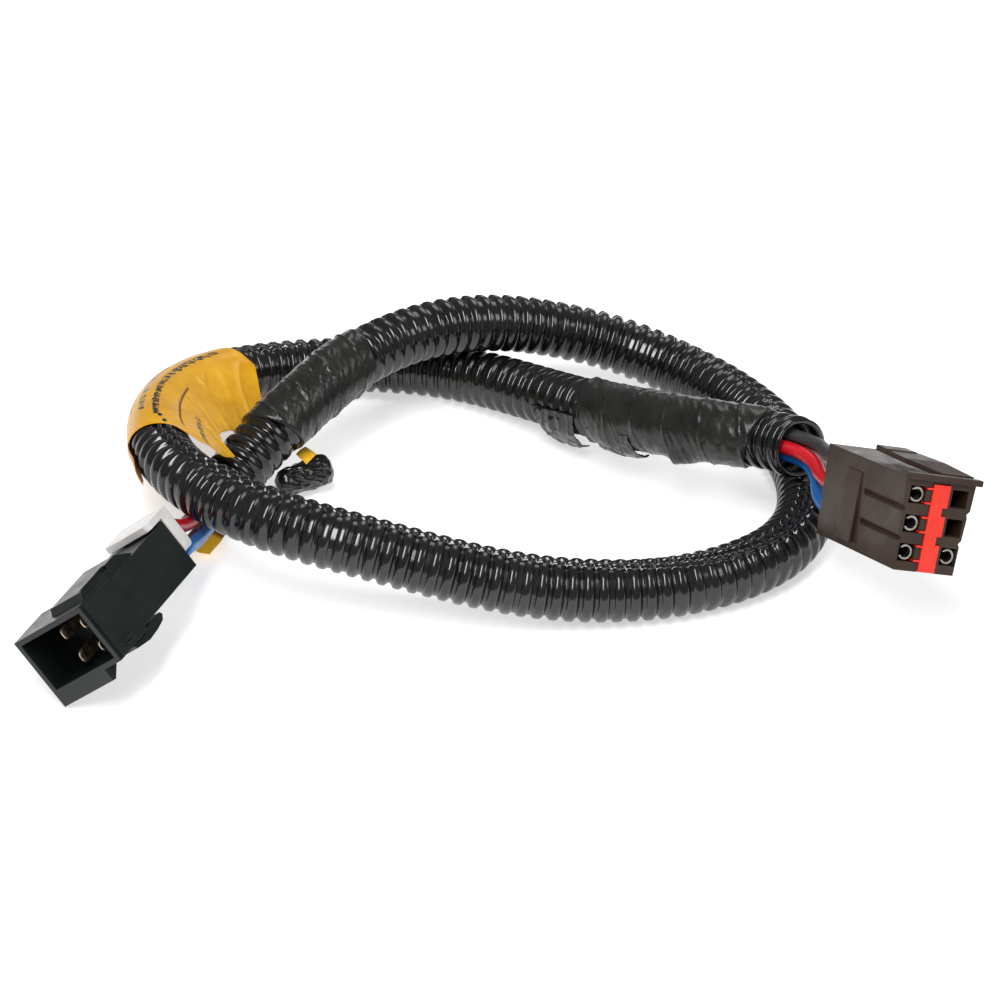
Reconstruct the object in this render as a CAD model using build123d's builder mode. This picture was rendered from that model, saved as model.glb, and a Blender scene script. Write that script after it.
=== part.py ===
from build123d import *
import os
from math import sin, cos, tan, radians, acos, pi

# Trailer brake controller wiring harness: a four-blade male plug and a six-way
# socket joined by four wires, which run inside one length of split corrugated
# loom. Two tape wraps, labels and a taped spare end lie on the loom.
# Frame: Z up, Z = 0 is the surface that the harness lies on. +X runs from the
# plug to the socket. The origin is under the middle of the coiled harness.

# ---------------------------------------------------------------- dimensions
loom_od = 13.6          # 3/8 in split loom over the rib crests
loom_id = 10.0
wire_od = 3.1           # 12 gauge insulated wire
core_od = 1.9           # copper strands inside it
wire_gap = 3.4          # spacing of the four wires in their square bundle
bundle_twist = 120.0   # total turn of the bundle along the loom, degrees
tape_od = 15.2          # outside of the vinyl tape wraps
label_t = 0.35

plug_w, plug_h, plug_l = 20.8, 14.3, 37.0      # shroud width, height, length
plug_heading, plug_roll = 68.8, 39.4           # degrees
plug_corner = (-101.3, -68.8, 13.62)           # shroud corner, front face
blade_w, blade_t = 2.8, 0.8
blade_cols = (10.5, 16.7)
blade_rows = (4.1, 10.3)
shroud_depth = 12.0

sock_w, sock_h, sock_l = 15.6, 20.0, 35.4      # width, height, length
sock_corner = (85.25, -51.27, 43.91)
sock_cols = (2.75, 12.85)
sock_rows = (3.7, 9.9, 16.1)
cavity = 3.8

# Moves the harness so that the middle of its footprint is over the origin.
shift = (-0.117, 4.66, 0.0)

# Points of the loom's route, from its mouth at the plug to its mouth at the
# socket. It passes under the front strand, over the back of the label's bend,
# round the far side, back along the front and across itself at both ends.
loom_points = [
    (-64.6, -4.6, 8.0), (-59.2, 5.3, 11.6), (-52.0, 14.1, 15.8),
    (-43.7, 24.0, 19.8), (-35.0, 34.2, 22.4), (-24.5, 44.4, 23.0),
    (-12.9, 52.0, 22.4), (0.0, 57.8, 20.2), (13.6, 61.6, 16.2),
    (27.1, 61.9, 12.3), (41.5, 57.2, 8.7), (54.5, 46.8, 6.9),
    (64.8, 29.8, 6.8), (69.9, 10.9, 6.8), (69.4, -7.6, 6.8),
    (63.7, -21.1, 6.8), (53.8, -30.2, 6.8), (41.4, -36.1, 6.8),
    (27.8, -38.9, 6.8), (13.0, -40.3, 7.9), (-1.3, -40.5, 10.5),
    (-15.5, -39.8, 14.1), (-28.9, -38.2, 17.4), (-41.0, -35.5, 19.5),
    (-52.0, -31.1, 20.9), (-61.1, -25.0, 21.6), (-69.3, -16.2, 21.6),
    (-75.7, -3.6, 20.4), (-78.7, 13.0, 17.9), (-77.1, 29.8, 14.7),
    (-71.0, 43.5, 11.5), (-61.8, 53.0, 8.9), (-51.1, 58.4, 7.3),
    (-39.3, 60.7, 6.8), (-27.2, 60.6, 6.8), (-15.0, 58.4, 6.8),
    (-2.4, 52.6, 7.2), (11.4, 41.3, 9.0), (25.1, 26.2, 13.5),
    (38.4, 12.9, 18.4), (50.2, 4.6, 21.1), (61.2, 0.4, 21.8),
    (67.9, -4.2, 22.0),
]


# ------------------------------------------------------------------- helpers
def shifted(points):
    return [Vector(*p) + Vector(*shift) for p in points]


def bend_radii(points):
    """The largest arc at each corner that its two runs leave room for."""
    out = []
    for a, b, c in zip(points, points[1:], points[2:]):
        turn = radians((b - a).get_angle(c - b))
        out.append(0.45 * min((b - a).length, (c - b).length) / tan(turn / 2))
    return out


def run_length(points, radii):
    """Length of straight runs joined by tangent arcs."""
    total = sum((b - a).length for a, b in zip(points, points[1:]))
    for (a, b, c), r in zip(zip(points, points[1:], points[2:]), radii):
        turn = radians((b - a).get_angle(c - b))
        total += r * turn - 2 * r * tan(turn / 2)
    return total


def tube(points, radii, outer, inner=0.0):
    """A round tube, or a solid cord, along straight runs and tangent arcs."""
    with BuildPart() as made:
        with BuildLine():
            FilletPolyline(*points, radius=radii)
        with BuildSketch(Plane(origin=points[0], z_dir=points[1] - points[0])):
            Circle(outer / 2)
            if inner:
                Circle(inner / 2, mode=Mode.SUBTRACT)
        sweep()
    return made


def finish(made, name):
    made.part.label = name
    export_step(made.part, f"parts/{name}.step")
    return made


os.makedirs("parts", exist_ok=True)

# ------------------------------------------------------------ connector frames
# Plug: X across the shroud (towards the blades' side), Y down its other side,
# Z from the open front to the wires. It lies level, rolled onto a long edge.
h, r = radians(plug_heading), radians(plug_roll)
plug = Plane(
    origin=Vector(*plug_corner) + Vector(*shift),
    x_dir=(cos(r) * sin(h), -cos(r) * cos(h), sin(r)),
    z_dir=(cos(h), sin(h), 0),
)
# Socket: X across the front face, Y down it, Z from the front to the wires.
sock = Plane(
    origin=Vector(*sock_corner) + Vector(*shift),
    x_dir=(0.9130, 0.2797, -0.2970),
    z_dir=(-0.3681, 0.8787, -0.3040),
)


def at(frame, x, y, z):
    """A point given in a connector's frame."""
    return frame.from_local_coords(Vector(x, y, z))


def across(frame, x):
    """The frame's plane that faces along X, with sketch axes (Z, Y)."""
    return Plane(origin=at(frame, x, 0, 0), x_dir=frame.z_dir, z_dir=-frame.x_dir)


def level(frame, y):
    """The frame's plane that faces along Y, with sketch axes (Z, X)."""
    return Plane(origin=at(frame, 0, y, 0), x_dir=frame.z_dir, z_dir=frame.y_dir)


def station(frame, z):
    """The frame's cross-section plane, with sketch axes (X, Y)."""
    return Plane(origin=at(frame, 0, 0, z), x_dir=frame.x_dir, z_dir=frame.z_dir)


def block(frame, x0, x1, y0, y1, z0, z1, mode=Mode.ADD):
    """A box between two corners, in a connector's frame."""
    with BuildSketch(station(frame, z0)) as outline:
        with Locations(((x0 + x1) / 2, (y0 + y1) / 2)):
            Rectangle(x1 - x0, y1 - y0)
    extrude(outline.sketch, amount=z1 - z0, mode=mode)


# ------------------------------------------------------------------ the plug
with BuildPart() as plug_housing:
    # body: full width at the shroud, stepping in to the terminal block behind
    with BuildSketch(level(plug, 1.1)):
        with BuildLine():
            Polyline((0, 0), (13.5, 0), (22, 6.8), (plug_l, 6.8),
                     (plug_l, plug_w), (0, plug_w), close=True)
        make_face()
    extrude(amount=12.2)
    # shroud
    block(plug, 0, plug_w, 0, plug_h, 0, 12.2)
    # raised pads on the upper face, ending in a stepped edge
    with BuildSketch(Plane(origin=at(plug, plug_w, 0, 0), x_dir=plug.z_dir,
                           z_dir=-plug.x_dir)):
        with BuildLine():
            Polyline((0.8, 0.6), (12.2, 0.6), (12.2, 6.7), (14.7, 7.6),
                     (14.7, 11.4), (11.4, 11.4), (11.4, 13.9), (0.8, 13.9),
                     close=True)
        make_face()
    extrude(amount=-0.5)
    # guide rail on the outer side, tapered at both ends
    with BuildSketch(across(plug, 19.6)):
        with BuildLine():
            Polyline((2.5, 1.3), (4.5, -1.5), (19.5, -1.5), (25.0, 1.3),
                     close=True)
        make_face()
    extrude(amount=9.6)
    # slot along the top of the rail
    block(plug, 18.4, 20.2, -2.0, -0.6, 5.0, 15.5, mode=Mode.SUBTRACT)
    # flared lip at the mouth
    with BuildSketch(across(plug, 15.5)):
        with BuildLine():
            Polyline((0, plug_h - 0.5), (0, 17.2), (1.0, 17.4), (5.6, plug_h),
                     (5.6, plug_h - 0.5), close=True)
        make_face()
    extrude(amount=15.5)
    # small ribs beside the latch
    block(plug, plug_w + 0.4, plug_w + 0.9, 11.8, 12.2, 3.6, 6.4)
    block(plug, plug_w + 0.4, plug_w + 0.9, 12.8, 13.2, 3.6, 6.4)
    # the mating cavity
    block(plug, 1.2, plug_w - 1.1, 1.2, plug_h - 1.2, -1, shroud_depth,
          mode=Mode.SUBTRACT)
    # blade slots and terminal channels
    for x in blade_cols:
        for y in blade_rows:
            block(plug, x - 0.6, x + 0.6, y - 1.6, y + 1.6, shroud_depth - 1,
                  14.5, mode=Mode.SUBTRACT)
            block(plug, x - 2.2, x + 2.2, y - 2.2, y + 2.2, 14.0, plug_l + 1,
                  mode=Mode.SUBTRACT)
finish(plug_housing, "plug_housing")

# Latch lever on the lower side of the shroud, its free end towards the wires.
with BuildPart() as plug_latch_lever:
    with BuildSketch(across(plug, 20.2)):
        with BuildLine():
            Polyline((6.2, 14.6), (7.0, 15.5), (11.5, 16.3), (15.5, 16.1),
                     (18.4, 15.6), (19.4, 14.7), (19.0, 13.9), (15.0, 13.8),
                     (12.6, 14.0), (12.4, 14.6), close=True)
        make_face()
    extrude(amount=10.5)
    fillet(plug_latch_lever.edges().filter_by(Axis((0, 0, 0), plug.x_dir))
           .sort_by(Axis(at(plug, 0, 0, 0), plug.z_dir))[-3:-1], 0.3)
finish(plug_latch_lever, "plug_latch_lever")

# Wire lock: a plate across the wires with a flange along one side, pushed on
# from behind. Two wires pass through holes and two through open notches.
with BuildPart() as plug_wire_lock:
    block(plug, 7.2, plug_w + 0.3, -0.9, 9.6, plug_l + 0.1, plug_l + 3.3)
    fillet(plug_wire_lock.edges().filter_by(Axis((0, 0, 0), plug.z_dir))
           .sort_by(Axis(at(plug, 0, 0, 0), plug.y_dir))[-2:], 1.2)
    block(plug, 7.2, plug_w + 0.3, -0.9, 0.6, plug_l - 5.4, plug_l + 0.2)
    fillet(plug_wire_lock.edges().filter_by(Axis((0, 0, 0), plug.y_dir))
           .sort_by(Axis(at(plug, 0, 0, 0), plug.z_dir))[:2], 1.3)
    for x in blade_cols:
        with BuildSketch(station(plug, plug_l - 1)):
            with Locations((x, blade_rows[0]), (x, blade_rows[1])):
                Circle(wire_od / 2 + 0.85)
        extrude(amount=6, mode=Mode.SUBTRACT)
finish(plug_wire_lock, "plug_wire_lock")

plug_cavity_of = {"red": (1, 0), "blue": (1, 1), "white": (0, 1),
                  "black": (0, 0)}


def blade_terminal(x, y):
    """A flat blade, its locking box and the two crimped barrels behind it."""
    with BuildPart() as made:
        with BuildSketch(level(plug, y - blade_w / 2)):
            with BuildLine():
                Polyline((14.2, x - blade_t / 2), (2.9, x - blade_t / 2),
                         (2.0, x - 0.15), (2.0, x + 0.15),
                         (2.9, x + blade_t / 2), (14.2, x + blade_t / 2),
                         close=True)
            make_face()
        extrude(amount=blade_w)
        # the tip is rounded across its width
        with BuildSketch(across(plug, x + 1)):
            with Locations((9.1, y)):
                RectangleRounded(14.2, blade_w, 1.15)
        extrude(amount=2, mode=Mode.INTERSECT)
        block(plug, x - 1.7, x + 1.7, y - 1.7, y + 1.7, 14.7, 21.5)
        block(plug, x - 1.3, x + 1.3, y - 1.3, y + 1.3, 16.0, 21.6,
              mode=Mode.SUBTRACT)
        block(plug, x - 0.4, x + 0.4, y - 1.4, y + 1.4, 14.0, 15.0)
        # strip to the barrels
        block(plug, x - 1.7, x - 1.35, y - 1.0, y + 1.0, 21.0, 33.0)
        with BuildSketch(station(plug, 23.0)):
            with Locations((x, y)):
                Circle(1.75)
                Circle(core_od / 2 + 0.03, mode=Mode.SUBTRACT)
        extrude(amount=3.5)
        with BuildSketch(station(plug, 28.8)):
            with Locations((x, y)):
                Circle(2.0)
                Circle(wire_od / 2 + 0.03, mode=Mode.SUBTRACT)
        extrude(amount=3.6)
        # the copper and the insulation lie clear inside the strip
        with BuildSketch(station(plug, 22.0)):
            with Locations((x, y)):
                Circle(core_od / 2 + 0.03)
        extrude(amount=6.0, mode=Mode.SUBTRACT)
        with BuildSketch(station(plug, 27.9)):
            with Locations((x, y)):
                Circle(wire_od / 2 + 0.03)
        extrude(amount=6.0, mode=Mode.SUBTRACT)
    return made


for colour, (i, j) in plug_cavity_of.items():
    finish(blade_terminal(blade_cols[i], blade_rows[j]),
           f"blade_terminal_{colour}")

# ---------------------------------------------------------------- the socket
with BuildPart() as socket_housing:
    # the left side leans in a little and the right side steps in row by row
    with BuildSketch(sock):
        with BuildLine():
            Polyline((-0.5, 0), (16.3, 0), (16.0, 6.0), (15.3, 6.8),
                     (15.6, 7.6), (15.3, 12.4), (14.7, 13.1), (15.1, 13.9),
                     (14.9, sock_h), (0.5, sock_h), close=True)
        make_face()
    extrude(amount=sock_l)
    # grooves between the rows on the left side
    for y, x in ((6.8, -0.16), (13.2, 0.16)):
        with BuildSketch(sock):
            with BuildLine():
                Polyline((x - 0.6, y - 1.3), (x + 0.75, y), (x - 0.6, y + 1.3),
                         close=True)
            make_face()
        extrude(amount=17.2, mode=Mode.SUBTRACT)
    # raised band behind the grooves
    with BuildSketch(Plane(origin=at(sock, 0.0, 0, 0), x_dir=sock.z_dir,
                           z_dir=-sock.x_dir)):
        with Locations((22.1, 10.9)):
            Rectangle(6.4, 15.4)
    extrude(amount=0.55)
    # lip over the front of the latch
    block(sock, -0.4, 17.3, -0.9, 0.4, -0.9, 1.2)
    # cavities: a narrow mouth in front and the terminal channel behind
    for x in sock_cols:
        for y in sock_rows:
            block(sock, x - cavity / 2, x + cavity / 2, y - cavity / 2,
                  y + cavity / 2, -1, sock_l + 1, mode=Mode.SUBTRACT)
    # slot for the terminal lock, open to the front and below
    block(sock, 6.0, 10.3, 0.9, sock_h + 1, -1, 8.6, mode=Mode.SUBTRACT)
    for y in sock_rows:
        for dy in (-1.55, 1.55):
            block(sock, 4.4, 6.2, y + dy - 0.35, y + dy + 0.35, -1, 6.6,
                  mode=Mode.SUBTRACT)
    # ribs that key the lock
    for y in (6.8, 13.0):
        block(sock, 9.2, 10.6, y - 0.75, y + 0.75, 0.0, 8.8)
finish(socket_housing, "socket_housing")

# Terminal lock: a comb that slides into the front.
with BuildPart() as socket_terminal_lock:
    block(sock, 6.15, 10.15, 1.05, sock_h - 0.1, -0.35, 8.2)
    for y in sock_rows:
        for dy in (-1.55, 1.55):
            block(sock, 4.75, 6.3, y + dy - 0.22, y + dy + 0.22, -0.2, 6.2)
    for y in (6.8, 13.0):
        block(sock, 9.05, 10.8, y - 0.9, y + 0.9, -1, 9, mode=Mode.SUBTRACT)
finish(socket_terminal_lock, "socket_terminal_lock")

# Latch: a raised thumb pad on an arm that rises from the front lip.
with BuildPart() as socket_latch:
    with BuildSketch(station(sock, 21.0)):
        with Locations((6.4, -2.35)):
            Rectangle(7.1, 1.1)
    with BuildSketch(station(sock, 8.5)):
        with Locations((7.9, -1.95)):
            Rectangle(9.6, 1.1)
    with BuildSketch(station(sock, 1.6)):
        with Locations((12.6, -0.62)):
            Rectangle(7.4, 1.0)
    loft(ruled=True)
    block(sock, 2.85, 9.95, -2.95, -2.0, 16.0, 21.0)
finish(socket_latch, "socket_latch")

sock_cavity_of = {"black": (0, 0), "red": (0, 1), "blue": (0, 2),
                  "white": (1, 2)}


def receptacle(x, y):
    """A rolled contact, open along one side, with its crimped barrels."""
    with BuildPart() as made:
        with BuildSketch(station(sock, 0.5)):
            with Locations((x, y)):
                Circle(1.62)
                Circle(1.2, mode=Mode.SUBTRACT)
            with Locations((x - 1.6, y - 0.1)):
                Rectangle(1.8, 1.7, mode=Mode.SUBTRACT)
        extrude(amount=12.0)
        block(sock, x - 1.7, x + 1.7, y - 1.7, y + 1.7, 12.2, 14.2)
        block(sock, x - 0.9, x + 0.9, y + 1.25, y + 1.65, 14.0, 24.6)
        with BuildSketch(station(sock, 15.0)):
            with Locations((x, y)):
                Circle(1.65)
                Circle(core_od / 2 + 0.03, mode=Mode.SUBTRACT)
        extrude(amount=3.5)
        with BuildSketch(station(sock, 20.8)):
            with Locations((x, y)):
                Circle(1.86)
                Circle(wire_od / 2 + 0.03, mode=Mode.SUBTRACT)
        extrude(amount=3.6)
        with BuildSketch(station(sock, 14.4)):
            with Locations((x, y)):
                Circle(core_od / 2 + 0.03)
        extrude(amount=6.0, mode=Mode.SUBTRACT)
        with BuildSketch(station(sock, 19.9)):
            with Locations((x, y)):
                Circle(wire_od / 2 + 0.03)
        extrude(amount=6.0, mode=Mode.SUBTRACT)
    return made


for colour, (i, j) in sock_cavity_of.items():
    finish(receptacle(sock_cols[i], sock_rows[j]), f"socket_terminal_{colour}")

# ------------------------------------------------------------------ the loom
loom_route = shifted(loom_points)
loom_radii = bend_radii(loom_route)
split_loom = finish(tube(loom_route, loom_radii, loom_od, loom_id),
                    "split_loom")
loom_length = run_length(loom_route, loom_radii)
print("loom radii", [round(x, 1) for x in loom_radii])
print("loom length", round(loom_length, 1), "volume ratio",
      round(split_loom.part.volume
            / (pi / 4 * (loom_od**2 - loom_id**2) * loom_length), 4))


# ------------------------------------------------------------------ the wires
def bundle_frames(points, first_x):
    """Two cross directions at each run, carried along without twisting."""
    frames = []
    x = first_x
    for a, b in zip(points, points[1:]):
        t = (b - a).normalized()
        x = (x - t * x.dot(t)).normalized()
        frames.append((t, x, t.cross(x)))
    return frames


def bundle_vertex(points, frames, k, dx, dy):
    """The corner of an offset run at point k, in the plane that halves it."""
    if k == 0:
        t, x, y = frames[0]
        return points[0] + x * dx + y * dy
    if k == len(points) - 1:
        t, x, y = frames[-1]
        return points[-1] + x * dx + y * dy
    t0, x0, y0 = frames[k - 1]
    t1 = frames[k][0]
    n = (t0 + t1).normalized()
    d = x0 * dx + y0 * dy
    return points[k] + d - t0 * (d.dot(n) / t0.dot(n))


half = wire_gap / 2
corner_of = {"red": (half, -half), "blue": (half, half),
             "white": (-half, half), "black": (-half, -half)}
frames = bundle_frames(loom_route, plug.x_dir)
turned = {}
for colour, (cx, cy) in corner_of.items():
    line = []
    for k in range(len(loom_route)):
        angle = radians(bundle_twist * k / (len(loom_route) - 1))
        dx = cx * cos(angle) - cy * sin(angle)
        dy = cx * sin(angle) + cy * cos(angle)
        line.append(bundle_vertex(loom_route, frames, k, dx, dy))
    turned[colour] = line

wire_routes = {}
for colour in ("black", "red", "blue", "white"):
    i, j = plug_cavity_of[colour]
    px, py = blade_cols[i], blade_rows[j]
    cx, cy = corner_of[colour]
    # centre of the four terminals, from where the wires draw together
    mx, my = sum(blade_cols) / 2, sum(blade_rows) / 2
    start = [at(plug, px, py, 28.4), at(plug, px, py, plug_l + 4.6)]
    lead_in = []
    for (x, y, z), share in (((-69.6, -26.6, 12.6), 0.35),
                             ((-67.2, -15.4, 9.1), 0.0)):
        mid = Vector(x, y, z) + Vector(*shift)
        ox = cx * (1 - share) + (px - mx) * share
        oy = cy * (1 - share) + (py - my) * share
        lead_in.append(mid + plug.x_dir * ox + plug.y_dir * oy)
    i, j = sock_cavity_of[colour]
    sx, sy = sock_cols[i], sock_rows[j]
    end = [at(sock, sx, sy, sock_l + 5.5), at(sock, sx, sy, 20.2)]
    tip = turned[colour][-1]
    last = frames[-1][0]
    out = [tip + last * 4.0]
    wire_routes[colour] = start + lead_in + turned[colour][:-1] + out + end

for colour, points in wire_routes.items():
    radii = bend_radii(points)
    length = run_length(points, radii)
    wire = finish(tube(points, radii, wire_od, core_od + 0.1),
                  f"wire_{colour}")
    print("wire", colour, "length", round(length, 1), "least radius",
          round(min(radii), 1), "volume ratio",
          round(wire.part.volume / (pi / 4 * (wire_od**2 - (core_od + 0.1)**2)
                                    * length), 4))
    # the strands stand out of the insulation at both crimps
    bare = [points[0] + (points[0] - points[1]).normalized() * 5.2] \
        + points[1:-1] + [points[-1] + (points[-1] - points[-2]).normalized()
                          * 5.2]
    finish(tube(bare, radii, core_od), f"strands_{colour}")


# ------------------------------------------------------- tape, labels, tails
def along_loom(first, last, outer, inner):
    """A sleeve on the loom from the middle of run `first` to that of `last`."""
    points = [(loom_route[first] + loom_route[first + 1]) * 0.5] \
        + loom_route[first + 1:last + 1] \
        + [(loom_route[last] + loom_route[last + 1]) * 0.5]
    return tube(points, loom_radii[first:last], outer, inner)


finish(along_loom(1, 3, tape_od, loom_od + 0.1), "tape_wrap_plug_side")
finish(along_loom(37, 40, tape_od, loom_od + 0.1), "tape_wrap_socket_side")

# Wrap-around label: a band over the bend and a flag across its inside.
with BuildPart() as wrap_label:
    add(along_loom(27, 30, loom_od + 0.1 + 2 * label_t, loom_od + 0.1).part)
finish(wrap_label, "wrap_label")


def sheet(corners, thick):
    """A thin flat sheet through three corners, with the others on its plane."""
    a, b, c = (Vector(*p) + Vector(*shift) for p in corners[:3])
    flat = Plane(origin=a, x_dir=b - a, z_dir=(b - a).cross(c - a))
    local = [flat.to_local_coords(Vector(*p) + Vector(*shift)) for p in corners]
    with BuildPart() as made:
        with BuildSketch(flat):
            with BuildLine():
                Polyline(*[(p.X, p.Y) for p in local], close=True)
            make_face()
        extrude(amount=thick / 2, both=True)
    return made


finish(sheet([(-66.0, 31.0, 20.4), (-64.6, -0.5, 20.6), (-54.8, 25.0, 21.4),
              (-60.0, 43.0, 18.4)], label_t), "label_flag")
finish(sheet([(-68.5, -12.7, 2.0), (-65.1, -14.0, 1.5), (-62.0, -12.2, 3.0),
              (-65.8, -9.3, 3.3)], 0.5), "plug_tag")

# Taped spare end beside the loom, with a small marker on it.
with BuildPart() as taped_end:
    with BuildSketch(Plane(origin=Vector(-50.0, 8.4, 4.6) + Vector(*shift),
                           z_dir=(0.82, 0.56, 0.06))):
        Circle(3.4)
    extrude(amount=11.5)
    fillet(taped_end.edges(), 1.1)
finish(taped_end, "taped_end")
finish(sheet([(-47.1, 15.2, 9.0), (-44.5, 10.8, 9.0), (-42.5, 15.2, 9.0),
              (-45.1, 18.0, 9.0)], 0.5), "marker_flag")
# Loose ends of the tape at the socket side.
finish(sheet([(13.1, 27.0, 11.4), (14.5, 26.4, 8.5), (18.6, 22.4, 9.3),
              (20.3, 19.2, 13.0)], 0.6), "tape_tail_crumpled")
finish(sheet([(24.8, 15.0, 13.7), (29.3, 11.2, 13.6), (31.9, 8.1, 16.8),
              (27.9, 11.7, 17.3)], 0.6), "tape_tail_folded")
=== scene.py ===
import math

import bpy
import numpy as np
from mathutils import Matrix, Vector


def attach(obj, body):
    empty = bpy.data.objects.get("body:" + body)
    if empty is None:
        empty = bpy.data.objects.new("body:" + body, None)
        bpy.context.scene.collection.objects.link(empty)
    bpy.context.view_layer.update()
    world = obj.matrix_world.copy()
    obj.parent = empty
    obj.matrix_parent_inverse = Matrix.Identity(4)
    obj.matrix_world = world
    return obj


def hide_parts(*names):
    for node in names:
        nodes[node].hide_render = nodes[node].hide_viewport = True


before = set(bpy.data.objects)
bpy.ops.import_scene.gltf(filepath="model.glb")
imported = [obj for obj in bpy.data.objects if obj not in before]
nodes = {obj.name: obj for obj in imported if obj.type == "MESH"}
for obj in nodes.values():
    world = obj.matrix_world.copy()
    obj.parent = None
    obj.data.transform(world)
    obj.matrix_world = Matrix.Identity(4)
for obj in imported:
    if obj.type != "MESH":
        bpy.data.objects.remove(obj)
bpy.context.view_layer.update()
scene = bpy.context.scene
MM = 0.001
SHIFT = np.array([-0.117, 4.66, 0.0])

# ------------------------------------------------------------------ camera
cam = bpy.data.cameras.new("camera")
cam.sensor_width = 36
cam.lens = 118.8
cam.clip_start = 0.01
camera = bpy.data.objects.new("camera", cam)
scene.collection.objects.link(camera)
camera.location = (SHIFT[0] * MM, (-636.04 + SHIFT[1]) * MM, 0.40344)
camera.rotation_euler = (math.radians(58), 0, 0)
scene.camera = camera
scene.view_settings.view_transform = "Standard"
scene.view_settings.look = "None"


# ------------------------------------------------------------ small helpers
def unit(v):
    v = np.asarray(v, float)
    return v / np.linalg.norm(v)


def smooth(x, a, b):
    t = np.clip((x - a) / (b - a), 0, 1)
    return t * t * (3 - 2 * t)


def waves(seed, count=7, low=0.5, high=2.5):
    """A smooth random function of two numbers, about -1 to 1."""
    rng = np.random.default_rng(seed)
    parts = [
        (rng.normal(size=2) * rng.uniform(low, high), rng.uniform(0, 6.28))
        for _ in range(count)
    ]

    def at(a, b):
        out = 0
        for k, p in parts:
            out = out + np.sin(a * k[0] + b * k[1] + p)
        return out / math.sqrt(count) / 1.2

    return at


def nurbs(points):
    """Points along the smooth line that has these control points, in mm."""
    c = bpy.data.curves.new("line", "CURVE")
    c.dimensions = "3D"
    c.resolution_u = 16
    s = c.splines.new("NURBS")
    s.points.add(len(points) - 1)
    for q, p in zip(s.points, points):
        q.co = (*(np.asarray(p, float) * MM), 1)
    s.order_u = 3
    s.use_endpoint_u = True
    o = bpy.data.objects.new("line", c)
    scene.collection.objects.link(o)
    m = bpy.data.meshes.new_from_object(o)
    out = np.array([v.co for v in m.vertices]) / MM
    bpy.data.meshes.remove(m)
    bpy.data.objects.remove(o)
    bpy.data.curves.remove(c)
    return out


class Line:
    """A smooth line with its length, directions and frames that don't twist."""

    def __init__(self, points, first_x, step=0.5):
        p = np.asarray(points, float)
        keep = np.r_[True, np.linalg.norm(np.diff(p, axis=0), axis=1) > 1e-6]
        p = p[keep]
        d = np.r_[0, np.cumsum(np.linalg.norm(np.diff(p, axis=0), axis=1))]
        n = max(2, int(round(d[-1] / step)))
        self.s = np.linspace(0, d[-1], n + 1)
        self.p = np.column_stack([np.interp(self.s, d, p[:, i]) for i in range(3)])
        for _ in range(2):
            self.p[1:-1] = (self.p[:-2] + 2 * self.p[1:-1] + self.p[2:]) / 4
        self.length = d[-1]
        t = np.gradient(self.p, axis=0)
        self.t = t / np.linalg.norm(t, axis=1)[:, None]
        x = unit(first_x - self.t[0] * np.dot(first_x, self.t[0]))
        xs = [x]
        for i in range(1, n + 1):
            x = x - self.t[i] * np.dot(x, self.t[i])
            x = x / np.linalg.norm(x)
            xs.append(x)
        self.x = np.array(xs)
        self.y = np.cross(self.t, self.x)

    def at(self, s):
        """Point, direction and the two cross directions at lengths s."""
        out = []
        for a in (self.p, self.t, self.x, self.y):
            out.append(np.column_stack([np.interp(s, self.s, a[:, i]) for i in range(3)]))
        p, t, x, y = out
        t /= np.linalg.norm(t, axis=1)[:, None]
        x -= t * np.sum(x * t, axis=1)[:, None]
        x /= np.linalg.norm(x, axis=1)[:, None]
        return p, t, x, np.cross(t, x)


def grid_faces(rows, cols, around=True, offset=0, flip=False):
    i = np.arange(rows - 1)[:, None]
    j = np.arange(cols if around else cols - 1)[None, :]
    k = (j + 1) % cols
    a, b = i * cols + j, i * cols + k
    c, d = (i + 1) * cols + k, (i + 1) * cols + j
    f = np.stack(np.broadcast_arrays(a, b, c, d), -1).reshape(-1, 4) + offset
    return f[:, ::-1] if flip else f


def make(name, verts, faces, material, body="harness", smooth_it=True, uv=None):
    """A mesh piece from points in mm."""
    m = bpy.data.meshes.new(name)
    m.from_pydata((np.asarray(verts) * MM).tolist(), [], [list(map(int, f)) for f in faces])
    m.validate()
    if uv is not None:
        layer = m.uv_layers.new(name="UVMap")
        index = np.empty(len(m.loops), np.int32)
        m.loops.foreach_get("vertex_index", index)
        layer.data.foreach_set("uv", np.asarray(uv, np.float32)[index].ravel())
    if smooth_it:
        m.polygons.foreach_set("use_smooth", [True] * len(m.polygons))
    m.update()
    o = bpy.data.objects.new(name, m)
    scene.collection.objects.link(o)
    if material is not None:
        m.materials.append(material)
    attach(o, body)
    return o


def tube_piece(name, line, radius, cols, material, s0=0.0, s1=None, step=0.6, cap=True, body="harness"):
    """A closed round tube of solid section along a line."""
    s1 = line.length if s1 is None else s1
    n = max(2, int((s1 - s0) / step))
    s = np.linspace(s0, s1, n + 1)
    p, t, x, y = line.at(s)
    a = np.arange(cols) * 2 * math.pi / cols
    r = radius(s[:, None], a[None, :]) if callable(radius) else np.full((n + 1, cols), radius)
    v = p[:, None] + r[..., None] * (x[:, None] * np.cos(a)[None, :, None] + y[:, None] * np.sin(a)[None, :, None])
    verts = v.reshape(-1, 3)
    faces = grid_faces(n + 1, cols).tolist()
    faces = [f[::-1] for f in faces]
    if cap:
        faces.append(list(range(cols)))
        faces.append(list(range(n * cols, (n + 1) * cols))[::-1])
        faces = [f for f in faces]
    return make(name, verts, faces, material, body)


def recalc(o):
    import bmesh

    b = bmesh.new()
    b.from_mesh(o.data)
    bmesh.ops.recalc_face_normals(b, faces=b.faces)
    b.to_mesh(o.data)
    b.free()


# ---------------------------------------------------------------- materials
def shader(name):
    m = bpy.data.materials.new(name)
    m.use_nodes = True
    nt = m.node_tree
    return m, nt, nt.nodes["Principled BSDF"]


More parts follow.
